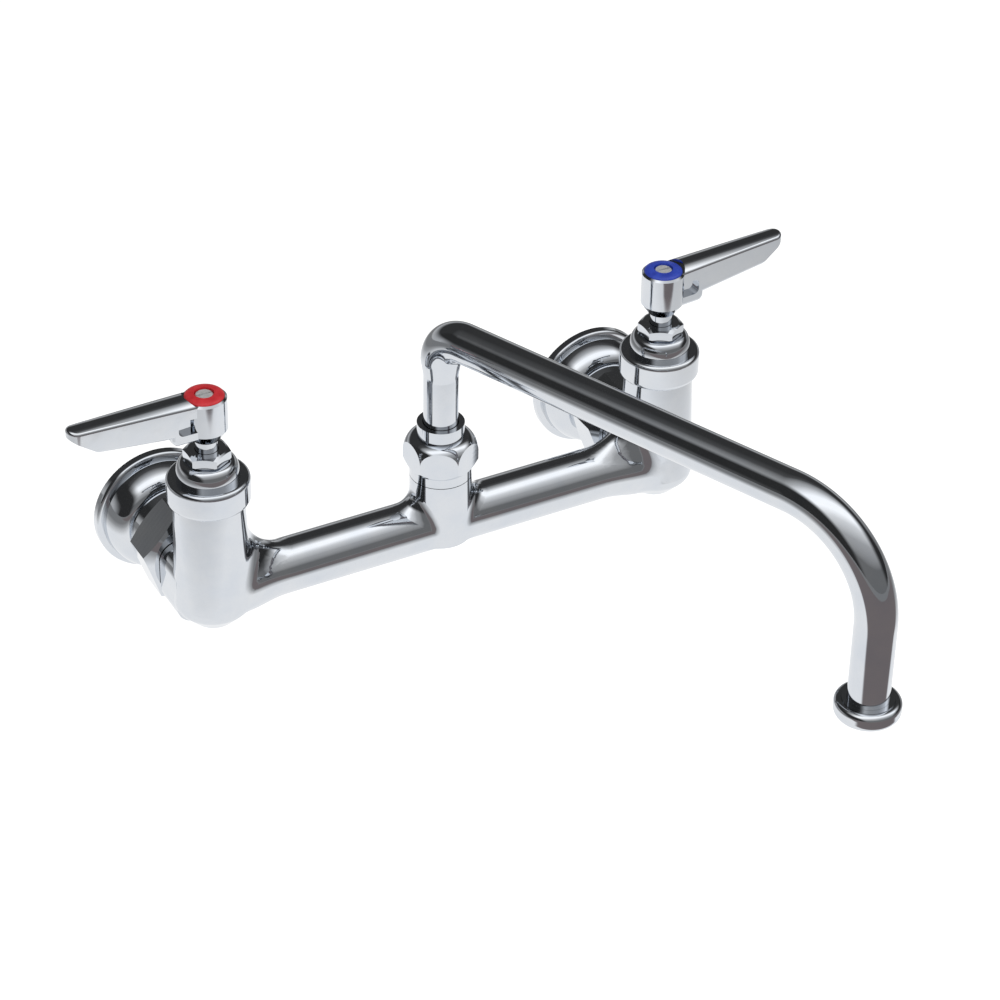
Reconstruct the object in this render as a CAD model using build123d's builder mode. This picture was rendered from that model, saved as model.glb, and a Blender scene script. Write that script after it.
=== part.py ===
from build123d import *
import os
from math import cos, radians, sin

os.makedirs("parts", exist_ok=True)

# A two-handle wall faucet for a commercial kitchen sink, with a swinging spout.
# All sizes are in millimetres.  The origin lies on the wall, midway between the two
# inlets.  +X points to the cold side, -Y out of the wall, +Z up.
# Every height in the valves, hub and spout is measured from the axis of the bar.

# ---- Cast body ----------------------------------------------------------------
inlet_spacing = 203.2  # centre to centre of the two inlets, 8 in
wall_to_bar = 57.0  # wall to the axis of the bar
inlet_rise = 4.0  # inlet axes above the axis of the bar
bar_radius = 11.3
bar_bore = 6.5
bar_flare = 13.7  # radius of the bar where it runs into a barrel
bar_flare_start = 9.0  # the flare lies between these distances from a valve axis
bar_flare_end = 29.0
bar_blend = 20.0  # rounding between bar and barrels
hub_blend = 8.0  # rounding between bar and centre hub

barrel_height = 53.9  # rim of a barrel above the bar
barrel_top_radius = 14.1
barrel_base_radius = 16.0
foot_depth = 14.0  # flat underside of a barrel below the bar
foot_radius = 9.0
foot_taper = 7.3  # height of the slope above the flat underside
foot_round = 6.0
rim_radius = 16.55
rim_height = 11.5
rim_round = 1.8
rim_step = 1.0  # height of the slope under the rim

chamber_radius = 11.0  # bore that takes the bonnet
chamber_depth = 24.4  # from the rim down to the ledge that the bonnet gasket lies on
chamber_ledge = barrel_height - chamber_depth
seat_chamber_radius = 9.4
partition_top = 15.0  # wall between the two water chambers
partition_thickness = 5.0
supply_chamber_radius = 6.2
supply_chamber_depth = 8.0
port_radius = 2.4  # passage from a seat chamber down to the bar
port_offset = 10.0
port_overrun = 2.0

hub_radius = 12.7
hub_depth = 6.0  # underside of the hub below the axis of the bar
hub_shoulder = 23.3
hub_top = 35.0
hub_thread_radius = 11.2
hub_bore = 9.4
hub_ledge = 12.0  # ledge that the spout stands on
thread_gap = 0.1  # between the plain radii of two screwed pieces
running_gap = 0.1  # between a turning or sliding piece and its bore

# ---- Inlets --------------------------------------------------------------------
boss_radius = 10.6
boss_reach = 20.0  # from the valve axis towards the wall
shoulder_half_width = 15.6  # squarish block between a barrel and its boss
shoulder_top = 14.0
shoulder_reach = 16.2
shoulder_round = 8.0
tail_bore = 5.5
tail_thread_radius = 7.5
tail_thread_length = 10.0
tail_collar_radius = 13.8
tail_collar = 3.0
union_flats = 38.0  # across the flats of the coupling nut
union_front = 16.6  # front face of the coupling nut from the valve axis
union_length = 17.6
union_crown = 2.2
union_turn = 12.0  # 0 sets a flat of the coupling nut level
inlet_washer_thickness = 2.5
inlet_washer_bore = 7.0
flange_radius = 27.0
flange_rim = 4.0
flange_rim_width = 2.6
flange_groove = 0.9
flange_rim_round = 1.4
flange_bell_radius = 17.4
flange_bell_height = 16.0
flange_neck_radius = 16.2
flange_neck_height = 22.6
flange_thread_radius = 13.9
pipe_thread_radius = 10.2  # 1/2 in pipe thread, plain radius
pipe_thread_depth = 15.0
flange_waterway = 7.0
flange_socket_wall = 3.5
flange_recess_radius = 21.0  # hollow round the pipe socket in the back of the flange
flange_recess_depth = 7.0

# ---- Valve seat and bonnet ---------------------------------------------------------
seat_top = 17.0
seat_thread_radius = 6.8
seat_flange_radius = 8.2
seat_bore = 4.2
gasket_thickness = 1.5
gasket_width = 1.4
bonnet_flange_radius = 12.5
bonnet_flange_height = 1.7
bonnet_dome_radius = 9.4
bonnet_dome_height = 7.3
bonnet_neck_radius = 6.9
bonnet_neck_height = 3.4
bonnet_bore = 7.0
bonnet_web_height = 1.5  # underside of the bonnet's web above the rim
keyway_width = 3.4
keyway_radius = 9.2
keyway_stop = 0.8  # end of the keyways below the drum of the spindle

packing_bore = 6.0
packing_depth = 6.5
packing_height = 4.2
packing_nut_flats = 16.4
packing_nut_height = 5.0
packing_nut_web = 1.3
packing_nut_crown = 1.0

# ---- Spindle, plunger and lever ------------------------------------------------------
spindle_radius = 4.5
spindle_drum_length = 14.5
spindle_drum_top = barrel_height + bonnet_web_height - running_gap
spindle_drum_bottom = spindle_drum_top - spindle_drum_length
spindle_thread_bore = 4.4
spindle_thread_depth = 11.0
spindle_square = 7.0
spindle_square_length = 11.5
plunger_lift = 2.5  # travel of the washer above the seat in a quarter turn
plunger_closed_gap = 0.1
seat_washer_radius = 6.2
seat_washer_thickness = 3.0
plunger_cup_wall = 0.9
plunger_cup_height = 2.0
plunger_stem_radius = 5.4
plunger_guide_height = 3.5
plunger_clearance = 2.3  # between plunger and drum with the valve open
plunger_guide_top = spindle_drum_bottom - plunger_lift - plunger_clearance
plunger_guide_base = plunger_guide_top - plunger_guide_height
plunger_stud_length = 11.5
lug_gap = 0.2
bib_screw_radius = 2.0
bib_screw_length = 10.0
bib_screw_head_radius = 3.4
bib_screw_head = 1.5

handle_lift = 5.3  # gap between the packing nut and the handle
handle_height = 18.9
handle_bottom = barrel_height + bonnet_dome_height + packing_nut_height + handle_lift
handle_top = handle_bottom + handle_height
handle_radius = 8.75
handle_neck_radius = 5.6
handle_taper = 4.6
handle_edge = 0.8
socket_gap = 0.15
socket_bore_depth = 3.5
handle_screw_radius = 2.0
handle_screw_length = 9.0
handle_screw_head_radius = 3.5
handle_screw_head = 2.2
handle_screw_edge = 0.4
handle_screw_slot = 0.9
handle_screw_slot_depth = 1.1
screw_end_slack = 0.5  # tapped hole deeper than the screw that goes in it
index_ring_radius = 7.9
index_ring_bore = 3.9
index_ring_seat = 1.4  # depth of its seat in the top of the handle
index_ring_crown = 1.3  # how far it stands above the handle

# Heights on the lever are measured from the underside of the handle.
lever_lean = 2.7  # both levers stand this far round, anticlockwise from above, when shut
lever_reach = 57.3  # valve axis to the tip of the lever
lever_top_root = 20.8
lever_top_tip = 21.9
lever_crown = 2.3  # how much its top falls from the middle to the edges
lever_root_width = 12.8
lever_tip_width = 8.4
lever_bottom_root = 7.2
lever_end_length = 11.3
lever_heel_reach = lever_reach - lever_end_length  # where its end starts to slant upwards
lever_heel = 10.4
lever_heel_round = 9.0
lever_tip_bottom = 18.6
lever_foot = 3.4  # underside of the shelf at the lever's root
lever_foot_reach = 16.5
lever_foot_round = 2.6
lever_edge = 1.2
pocket_web = 7.0  # thickness left between the two side pockets
pocket_bottom = 7.4
pocket_top = 14.0
pocket_reach = 14.0
pocket_round = 2.2

# ---- Spout -----------------------------------------------------------------------------
spout_angle = -67.5  # direction of the spout from +X, seen from above
spout_height = 89.5  # centre line of the long tube
spout_reach = 208.6
spout_radius = 8.2
spout_wall = 1.2
riser_radius = 7.1
riser_swage = 7.0  # height over which the riser widens to the tube
elbow_radius = 12.0
down_bend_radius = 41.5
bushing_length = 17.0
bushing_lip = 1.0  # floor of the bushing that the tube stands on
braze_gap = 0.05
o_ring_section = 1.6
o_ring_gap = 0.05  # between an O-ring and the bore of the hub
o_ring_pitch = 6.0
groove_slack = 0.4
bearing_gap = 0.2
spout_nut_corner = 15.3
spout_nut_flare_bottom = 27.6
spout_nut_wide_bottom = 30.5
spout_nut_wide_top = 34.5
spout_nut_shoulder = 42.0
spout_nut_top = 48.0
spout_nut_neck = 9.7
spout_nut_web = 36.5
spout_nut_clearance = 0.3
hexagon_turn = 30.0

outlet_bottom = 6.4
outlet_radius = 13.0
outlet_height = 7.6
outlet_wall = 2.7
outlet_round = 3.2
outlet_edge = 2.3
outlet_lip = 1.2
outlet_opening = 8.6
tip_thread_radius = outlet_radius - outlet_wall - thread_gap
tip_stand = 0.3  # how far the tip stands out of the outlet ring
tip_top = outlet_bottom + outlet_height + tip_stand
screen_thickness = 1.0
screen_hole = 0.8
screen_rings = 4
screen_holes_per_ring = 6  # ring 1 has this many, ring 2 twice as many, and so on
screen_pitch = 1.9
outlet_washer_thickness = 1.0

hot = -1
cold = 1
bar_axis_height = -inlet_rise
quarter = inlet_spacing / 2


def valve_plane(side):
    """Upright plane through a valve axis: x outwards, y up, zero at the bar."""
    return Plane(
        origin=(side * quarter, -wall_to_bar, bar_axis_height),
        x_dir=(side, 0, 0),
        z_dir=(0, -side, 0),
    )


def valve_level(side, height):
    """Level plane across a valve axis at a height above the bar: x outwards."""
    return Plane(
        origin=(side * quarter, -wall_to_bar, bar_axis_height + height),
        x_dir=(side, 0, 0),
        z_dir=(0, 0, 1),
    )


def valve_axis(side):
    return Axis((side * quarter, -wall_to_bar, bar_axis_height), (0, 0, 1))


def inlet_plane(side):
    """Upright plane through an inlet axis: x towards the wall, y is the radius."""
    return Plane(origin=(side * quarter, -wall_to_bar, 0), x_dir=(0, 1, 0), z_dir=(1, 0, 0))


def inlet_section(side, distance):
    """Plane across an inlet axis at a distance behind the valve axis."""
    return Plane(
        origin=(side * quarter, distance - wall_to_bar, 0), x_dir=(1, 0, 0), z_dir=(0, 1, 0)
    )


def inlet_axis(side):
    return Axis((side * quarter, -wall_to_bar, 0), (0, 1, 0))


hub_plane = Plane(
    origin=(0, -wall_to_bar, bar_axis_height), x_dir=(1, 0, 0), z_dir=(0, -1, 0)
)
hub_axis = Axis((0, -wall_to_bar, bar_axis_height), (0, 0, 1))


def hub_level(height):
    return Plane(origin=(0, -wall_to_bar, bar_axis_height + height), z_dir=(0, 0, 1))


def turned(plane, axis, *outline):
    """A turned piece from its half outline of (radius, height) corners."""
    with BuildPart() as piece:
        with BuildSketch(plane):
            with BuildLine():
                Polyline(*outline, close=True)
            make_face()
        revolve(axis=axis)
    return piece


def save(piece, name):
    piece.part.label = name
    export_step(piece.part, f"parts/{name}.step")


# ---- Cast body -------------------------------------------------------------------------


def barrel_outside(side):
    """Tapered barrel with its sloped foot, turned about the valve axis."""
    with BuildPart() as barrel:
        with BuildSketch(valve_plane(side)) as half:
            with BuildLine():
                Polyline(
                    (0, -foot_depth),
                    (foot_radius, -foot_depth),
                    (barrel_base_radius, foot_taper - foot_depth),
                    (barrel_top_radius, barrel_height - rim_height),
                    (barrel_top_radius, barrel_height),
                    (0, barrel_height),
                    close=True,
                )
            make_face()
            fillet(half.vertices().sort_by(Axis.X)[-1], radius=foot_round)
        revolve(axis=valve_axis(side))
    return barrel


def rim_outside(side):
    """Collar round the top of a barrel."""
    bottom = barrel_height - rim_height
    with BuildPart() as rim:
        with BuildSketch(valve_plane(side)) as half:
            with BuildLine():
                Polyline(
                    (0, bottom - rim_step),
                    (barrel_top_radius, bottom - rim_step),
                    (rim_radius, bottom + rim_step),
                    (rim_radius, barrel_height),
                    (0, barrel_height),
                    close=True,
                )
            make_face()
            fillet(half.vertices().sort_by(Axis.X)[-2:], radius=rim_round)
        revolve(axis=valve_axis(side))
    return rim


def valve_bores(side):
    """Chamber for the bonnet, the seat's hole, the supply chamber and their passages."""
    partition_bottom = partition_top - partition_thickness
    seat_hole = seat_thread_radius + thread_gap
    with BuildPart() as bores:
        with BuildSketch(valve_plane(side)):
            with BuildLine():
                Polyline(
                    (0, -supply_chamber_depth),
                    (supply_chamber_radius, -supply_chamber_depth),
                    (supply_chamber_radius, partition_bottom),
                    (seat_hole, partition_bottom),
                    (seat_hole, partition_top),
                    (seat_chamber_radius, partition_top),
                    (seat_chamber_radius, chamber_ledge),
                    (chamber_radius, chamber_ledge),
                    (chamber_radius, barrel_height),
                    (0, barrel_height),
                    close=True,
                )
            make_face()
        revolve(axis=valve_axis(side))
        with BuildSketch(valve_level(side, 0)):
            with Locations((-port_offset, 0)):
                Circle(port_radius)
        extrude(amount=partition_top + port_overrun)
        with BuildSketch(inlet_section(side, 0)):
            Circle(tail_bore)
        extrude(amount=boss_reach)
        with BuildSketch(inlet_section(side, boss_reach)):
            Circle(tail_thread_radius + thread_gap)
        extrude(amount=-tail_thread_length)
    return bores


def hub_bores():
    """Socket for the spout in the hub, and the waterway along the bar."""
    bore_end = quarter - port_offset + port_radius
    with BuildPart() as bores:
        with BuildSketch(hub_plane):
            with BuildLine():
                Polyline(
                    (0, 0),
                    (bar_bore, 0),
                    (bar_bore, hub_ledge),
                    (hub_bore, hub_ledge),
                    (hub_bore, hub_top),
                    (0, hub_top),
                    close=True,
                )
            make_face()
        revolve(axis=hub_axis)
        with BuildSketch(bar_section(-bore_end)):
            Circle(bar_bore)
        extrude(amount=2 * bore_end)
    return bores


def bar_section(distance):
    """Plane across the bar at a distance from the hub axis."""
    return Plane(origin=(distance, -wall_to_bar, bar_axis_height), z_dir=(1, 0, 0))


def bar_end(side):
    """Widening end of the bar, turned about the bar's axis."""
    along = Plane(
        origin=(side * quarter, -wall_to_bar, bar_axis_height),
        x_dir=(-side, 0, 0),
        z_dir=(0, -side, 0),
    )
    with BuildPart() as flare:
        with BuildSketch(along):
            with BuildLine():
                Polyline(
                    (bar_flare_start, bar_flare),
                    (0, bar_flare),
                    (0, 0),
                    (bar_flare_end, 0),
                    (bar_flare_end, bar_radius),
                )
                Spline(
                    (bar_flare_start, bar_flare),
                    (bar_flare_end, bar_radius),
                    tangents=((1, 0), (1, 0)),
                )
            make_face()
        revolve(axis=Axis(along.origin, (1, 0, 0)))
    return flare


def shoulder_block(side):
    """Squarish block that carries the inlet boss behind a barrel."""
    height = shoulder_top + foot_depth
    middle = bar_axis_height + (shoulder_top - foot_depth) / 2
    across = Plane(
        origin=(side * quarter, -wall_to_bar, middle), x_dir=(1, 0, 0), z_dir=(0, 1, 0)
    )
    with BuildPart() as block:
        with BuildSketch(across):
            RectangleRounded(2 * shoulder_half_width, height, shoulder_round)
        extrude(amount=shoulder_reach)
    return block


def make_faucet_body():
    """One casting: two valve barrels, the bar between them and the centre hub."""
    barrels = [barrel_outside(side) for side in (hot, cold)]
    flares = [bar_end(side) for side in (hot, cold)]
    blocks = [shoulder_block(side) for side in (hot, cold)]
    rims = [rim_outside(side) for side in (hot, cold)]
    bores = [valve_bores(hot), valve_bores(cold), hub_bores()]
    with BuildPart() as body:
        with BuildSketch(bar_section(-quarter)):
            Circle(bar_radius)
        extrude(amount=inlet_spacing)
        with BuildSketch(hub_level(-hub_depth)):
            Circle(hub_radius)
        extrude(amount=hub_shoulder + hub_depth)
        fillet(body.edges().filter_by(GeomType.BSPLINE), radius=hub_blend)
        for piece in flares + barrels:
            add(piece.part)
        crossings = body.edges().filter_by(GeomType.BSPLINE)
        bar_end_start = quarter - bar_flare_end - 1
        corners = [edge for edge in crossings if abs(edge.center().X) > bar_end_start]
        fillet(corners, radius=bar_blend)
        for side, rim, block in zip((hot, cold), rims, blocks):
            add(rim.part)
            add(block.part)
            with BuildSketch(inlet_section(side, 0)):
                Circle(boss_radius)
            extrude(amount=boss_reach)
        with BuildSketch(hub_level(hub_shoulder)):
            Circle(hub_thread_radius)
        extrude(amount=hub_top - hub_shoulder)
        for bore in bores:
            add(bore.part, mode=Mode.SUBTRACT)
    return body


# ---- Inlets ------------------------------------------------------------------------------


def make_inlet_tail(side):
    """Tailpiece screwed into the body; its collar holds the coupling nut on."""
    start = boss_reach - tail_thread_length
    collar_end = boss_reach + tail_collar
    return turned(
        inlet_plane(side),
        inlet_axis(side),
        (start, tail_bore),
        (start, tail_thread_radius),
        (boss_reach, tail_thread_radius),
        (boss_reach, tail_collar_radius),
        (collar_end, tail_collar_radius),
        (collar_end, tail_bore),
    )


def crowned_hexagon(level, flats, length, crown, turn):
    """Hexagonal prism standing on a plane, with both ends of its corners turned off."""
    corner = flats / 2 / cos(radians(30))
    inward = 2 * crown
    upright = Plane(
        origin=level.origin, x_dir=level.x_dir, z_dir=level.x_dir.cross(level.z_dir)
    )
    with BuildPart() as prism:
        with BuildSketch(level):
            RegularPolygon(radius=corner, side_count=6, rotation=turn)
        extrude(amount=length)
    with BuildPart() as turning:
        with BuildSketch(upright):
            with BuildLine():
                Polyline(
                    (0, 0),
                    (corner - inward, 0),
                    (corner, crown),
                    (corner, length - crown),
                    (corner - inward, length),
                    (0, length),
                    close=True,
                )
            make_face()
        revolve(axis=Axis(level.origin, level.z_dir))
    with BuildPart() as nut:
        add(prism.part)
        add(turning.part, mode=Mode.INTERSECT)
    return nut


def make_coupling_nut(side):
    """Hexagonal nut that draws the faucet to its wall flange."""
    level = inlet_section(side, union_front)
    cavity = union_front + union_length - boss_reach
    blank = crowned_hexagon(level, union_flats, union_length, union_crown, union_turn)
    with BuildPart() as nut:
        add(blank.part)
        with BuildSketch(level):
            Circle(boss_radius + 2 * thread_gap)
        extrude(amount=union_length, mode=Mode.SUBTRACT)
        with BuildSketch(inlet_section(side, boss_reach)):
            Circle(flange_thread_radius + thread_gap)
        extrude(amount=cavity, mode=Mode.SUBTRACT)
    return nut


def make_inlet_washer(side):
    """Rubber washer squeezed between the tailpiece and the wall flange."""
    start = boss_reach + tail_collar
    end = start + inlet_washer_thickness
    return turned(
        inlet_plane(side),
        inlet_axis(side),
        (start, inlet_washer_bore),
        (start, tail_collar_radius),
        (end, tail_collar_radius),
        (end, inlet_washer_bore),
    )


def make_wall_flange(side):
    """Round wall flange with a female pipe thread behind and a male thread in front."""
    front = boss_reach + tail_collar + inlet_washer_thickness
    rim = wall_to_bar - flange_rim
    bell_foot = flange_radius - flange_rim_width
    bell_top = wall_to_bar - flange_bell_height
    neck = wall_to_bar - flange_neck_height
    recess_floor = wall_to_bar - flange_recess_depth
    with BuildPart() as flange:
        with BuildSketch(inlet_plane(side)) as half:
            with BuildLine():
                Polyline(
                    (rim + flange_groove, bell_foot),
                    (rim, bell_foot),
                    (rim, flange_radius),
                    (wall_to_bar, flange_radius),
                    (wall_to_bar, flange_recess_radius),
                    (recess_floor, flange_recess_radius),
                    (recess_floor, pipe_thread_radius + flange_socket_wall),
                    (wall_to_bar, pipe_thread_radius + flange_socket_wall),
                    (wall_to_bar, pipe_thread_radius),
                    (wall_to_bar - pipe_thread_depth, pipe_thread_radius),
                    (wall_to_bar - pipe_thread_depth, flange_waterway),
                    (front, flange_waterway),
                    (front, flange_thread_radius),
                    (neck, flange_thread_radius),
                    (neck, flange_neck_radius),
                    (bell_top, flange_bell_radius),
                )
                EllipticalCenterArc(
                    (rim + flange_groove, flange_bell_radius),
                    rim + flange_groove - bell_top,
                    bell_foot - flange_bell_radius,
                    start_angle=90,
                    arc_size=90,
                )
            make_face()
            corner = half.vertices().sort_by_distance((rim, flange_radius))[0]
            fillet(corner, radius=flange_rim_round)
        revolve(axis=inlet_axis(side))
    return flange


# ---- Valve seat, bonnet and packing ----------------------------------------------------------


def make_seat(side):
    """Renewable brass seat screwed into the wall between the two chambers."""
    bottom = partition_top - partition_thickness
    return turned(
        valve_plane(side),
        valve_axis(side),
        (seat_bore, bottom),
        (seat_thread_radius, bottom),
        (seat_thread_radius, partition_top),
        (seat_flange_radius, partition_top),
        (seat_flange_radius, seat_top),
        (seat_bore, seat_top),
    )


def make_bonnet_gasket(side):
    """Fibre ring between the ledge in the barrel and the foot of the bonnet."""
    outer = chamber_radius - thread_gap
    top = chamber_ledge + gasket_thickness
    return turned(
        valve_plane(side),
        valve_axis(side),
        (outer - gasket_width, chamber_ledge),
        (outer, chamber_ledge),
        (outer, top),
        (outer - gasket_width, top),
    )


def make_bonnet(side):
    """Domed bonnet: guides the plunger, turns the spindle and holds the packing."""
    foot = chamber_ledge + gasket_thickness
    thread_radius = chamber_radius - thread_gap
    flange_top = barrel_height + bonnet_flange_height
    dome_top = barrel_height + bonnet_dome_height
    neck_top = dome_top + bonnet_neck_height
    packing_floor = neck_top - packing_depth
    web_bottom = barrel_height + bonnet_web_height
    with BuildPart() as bonnet:
        with BuildSketch(valve_plane(side)):
            with BuildLine():
                Polyline(
                    (bonnet_dome_radius, dome_top),
                    (bonnet_neck_radius, dome_top),
                    (bonnet_neck_radius, neck_top),
                    (packing_bore, neck_top),
                    (packing_bore, packing_floor),
                    (spindle_radius + running_gap, packing_floor),
                    (spindle_radius + running_gap, web_bottom),
                    (bonnet_bore, web_bottom),
                    (bonnet_bore, foot),
                    (thread_radius, foot),
                    (thread_radius, barrel_height),
                    (bonnet_flange_radius, barrel_height),
                    (bonnet_flange_radius, flange_top),
                )
                EllipticalCenterArc(
                    (bonnet_dome_radius, flange_top),
                    bonnet_flange_radius - bonnet_dome_radius,
                    dome_top - flange_top,
                    start_angle=0,
                    arc_size=90,
                )
            make_face()
        revolve(axis=valve_axis(side))
        with BuildSketch(valve_level(side, foot)):
            Rectangle(2 * keyway_radius, keyway_width)
        extrude(amount=spindle_drum_bottom - keyway_stop - foot, mode=Mode.SUBTRACT)
    return bonnet


def make_stem_packing(side):
    """Packing ring round the spindle, squeezed by the packing nut."""
    neck_top = barrel_height + bonnet_dome_height + bonnet_neck_height
    floor = neck_top - packing_depth
    inner = spindle_radius + running_gap / 2
    return turned(
        valve_plane(side),
        valve_axis(side),
        (inner, floor),
        (packing_bore, floor),
        (packing_bore, floor + packing_height),
        (inner, floor + packing_height),
    )


def make_packing_nut(side):
    """Small hexagonal nut with a gland foot that presses on the packing."""
    dome_top = barrel_height + bonnet_dome_height
    floor = dome_top + bonnet_neck_height - packing_depth
    web_bottom = dome_top + packing_nut_height - packing_nut_web
    gland_bottom = floor + packing_height
    bore = spindle_radius + bearing_gap
    level = valve_level(side, dome_top)
    blank = crowned_hexagon(
        level, packing_nut_flats, packing_nut_height, packing_nut_crown, hexagon_turn
    )
    gland = turned(
        valve_plane(side),
        valve_axis(side),
        (bore, gland_bottom),
        (packing_bore - thread_gap, gland_bottom),
        (packing_bore - thread_gap, web_bottom),
        (bore, web_bottom),
    )
    with BuildPart() as nut:
        add(blank.part)
        with BuildSketch(level):
            Circle(bonnet_neck_radius + thread_gap)
        extrude(amount=web_bottom - dome_top, mode=Mode.SUBTRACT)
        with BuildSketch(level):
            Circle(bore)
        extrude(amount=packing_nut_height, mode=Mode.SUBTRACT)
        add(gland.part)
    return nut


# ---- Spindle and plunger -------------------------------------------------------------------


def make_spindle(side):
    """Spindle with a square top, and a drum below whose quick thread moves the plunger."""
    square_bottom = handle_bottom + socket_bore_depth
    square_top = square_bottom + spindle_square_length
    web = handle_top - index_ring_seat - square_top
    screw_depth = handle_screw_length - web + screw_end_slack
    with BuildPart() as spindle:
        with BuildSketch(valve_plane(side)):
            with BuildLine():
                Polyline(
                    (0, spindle_drum_bottom),
                    (bonnet_bore - running_gap, spindle_drum_bottom),
                    (bonnet_bore - running_gap, spindle_drum_top),
                    (spindle_radius, spindle_drum_top),
                    (spindle_radius, square_bottom),
                    (0, square_bottom),
                    close=True,
                )
            make_face()
        revolve(axis=valve_axis(side))
        with BuildSketch(valve_level(side, square_bottom)):
            Rectangle(spindle_square, spindle_square)
        extrude(amount=spindle_square_length)
        with BuildSketch(valve_level(side, spindle_drum_bottom)):
            Circle(spindle_thread_bore)
        extrude(amount=spindle_thread_depth, mode=Mode.SUBTRACT)
        with BuildSketch(valve_level(side, square_top)):
            Circle(handle_screw_radius + thread_gap)
        extrude(amount=-screw_depth, mode=Mode.SUBTRACT)
    return spindle


def make_plunger(side):
    """Plunger that can't turn: two lugs slide in the bonnet, its stud rides the thread."""
    washer_bottom = seat_top + plunger_closed_gap
    plate_bottom = washer_bottom + seat_washer_thickness
    cup_bottom = plate_bottom - plunger_cup_height
    cup_radius = seat_washer_radius + plunger_cup_wall
    stud_top = plunger_guide_top + plunger_stud_length
    screw_depth = bib_screw_length - seat_washer_thickness + screw_end_slack
    with BuildPart() as plunger:
        with BuildSketch(valve_plane(side)):
            with BuildLine():
                Polyline(
                    (0, plate_bottom),
                    (seat_washer_radius, plate_bottom),
                    (seat_washer_radius, cup_bottom),
                    (cup_radius, cup_bottom),
                    (cup_radius, plate_bottom + plunger_cup_height),
                    (plunger_stem_radius, plate_bottom + plunger_cup_height),
                    (plunger_stem_radius, plunger_guide_base),
                    (bonnet_bore - running_gap, plunger_guide_base),
                    (bonnet_bore - running_gap, plunger_guide_top),
                    (spindle_thread_bore - running_gap, plunger_guide_top),
                    (spindle_thread_bore - running_gap, stud_top),
                    (0, stud_top),
                    close=True,
                )
            make_face()
        revolve(axis=valve_axis(side))
        with BuildSketch(valve_level(side, plunger_guide_base)):
            Rectangle(2 * (keyway_radius - lug_gap), keyway_width - lug_gap)
        extrude(amount=plunger_guide_height)
        with BuildSketch(valve_level(side, plate_bottom)):
            Circle(bib_screw_radius + thread_gap)
        extrude(amount=screw_depth, mode=Mode.SUBTRACT)
    return plunger


def make_seat_washer(side):
    """Rubber washer in the plunger's cup that closes on the seat."""
    bottom = seat_top + plunger_closed_gap
    top = bottom + seat_washer_thickness
    return turned(
        valve_plane(side),
        valve_axis(side),
        (bib_screw_radius + thread_gap, bottom),
        (seat_washer_radius, bottom),
        (seat_washer_radius, top),
        (bib_screw_radius + thread_gap, top),
    )


def make_bib_screw(side):
    """Screw that holds the seat washer in the plunger."""
    head_top = seat_top + plunger_closed_gap
    with BuildPart() as screw:
        with BuildSketch(valve_level(side, head_top)):
            Circle(bib_screw_head_radius)
        extrude(amount=-bib_screw_head)
        with BuildSketch(valve_level(side, head_top)):
            Circle(bib_screw_radius)
        extrude(amount=bib_screw_length)
    return screw


# ---- Lever handles ---------------------------------------------------------------------------


def lever_direction(side):
    """Level direction in which a lever points."""
    return Vector(side * cos(radians(lever_lean)), side * sin(radians(lever_lean)), 0)


def handle_plane(side):
    """Upright plane along a lever, zero at the valve axis and the handle's underside."""
    origin = valve_level(side, handle_bottom).origin
    outwards = lever_direction(side)
    return Plane(origin=origin, x_dir=outwards, z_dir=outwards.cross(Vector(0, 0, 1)))


def lever_level(side):
    """Level plane at the handle's underside: x along the lever."""
    origin = valve_level(side, handle_bottom).origin
    return Plane(origin=origin, x_dir=lever_direction(side), z_dir=(0, 0, 1))


def lever_side_view(side):
    """Side view of the arm: shelf at the root, underside, and the end slanting up."""
    with BuildPart() as view:
        with BuildSketch(handle_plane(side)) as outline:
            with BuildLine():
                Polyline(
                    (0, lever_foot),
                    (lever_foot_reach, lever_foot),
                    (lever_foot_reach, lever_bottom_root),
                    (lever_heel_reach, lever_heel),
                    (lever_reach, lever_tip_bottom),
                    (lever_reach, 2 * handle_height),
                    (0, 2 * handle_height),
                    close=True,
                )
            make_face()
            corners = outline.vertices()
            shelf = corners.sort_by_distance((lever_foot_reach, lever_foot))[0]
            heel = corners.sort_by_distance((lever_heel_reach, lever_heel))[0]
            fillet(shelf, radius=lever_foot_round)
            fillet(heel, radius=lever_heel_round)
        extrude(amount=lever_root_width, both=True)
    return view


def lever_plan(side):
    """Plan of the arm: it narrows from the hub to its round tip."""
    half_root = lever_root_width / 2
    half_tip = lever_tip_width / 2
    with BuildPart() as plan:
        with BuildSketch(lever_level(side)):
            with BuildLine():
                Polyline(
                    (lever_reach - half_tip, half_tip),
                    (0, half_root),
                    (0, -half_root),
                    (lever_reach - half_tip, -half_tip),
                )
                ThreePointArc(
                    (lever_reach - half_tip, -half_tip),
                    (lever_reach, 0),
                    (lever_reach - half_tip, half_tip),
                )
            make_face()
        extrude(amount=2 * handle_height)
    return plan


def lever_section(side):
    """Long bar with the crowned top of the arm, rising towards the tip."""
    plane = handle_plane(side)
    start = plane.from_local_coords((0, lever_top_root, 0))
    end = plane.from_local_coords((lever_reach, lever_top_tip, 0))
    half = lever_root_width / 2
    with BuildPart() as bar:
        with BuildSketch(Plane(origin=start, x_dir=-plane.z_dir, z_dir=end - start)):
            with BuildLine():
                ThreePointArc((-half, -lever_crown), (0, 0), (half, -lever_crown))
                Polyline(
                    (half, -lever_crown),
                    (half, -handle_height),
                    (-half, -handle_height),
                    (-half, -lever_crown),
                )
            make_face()
        extrude(amount=lever_reach + lever_root_width)
    return bar


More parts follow.
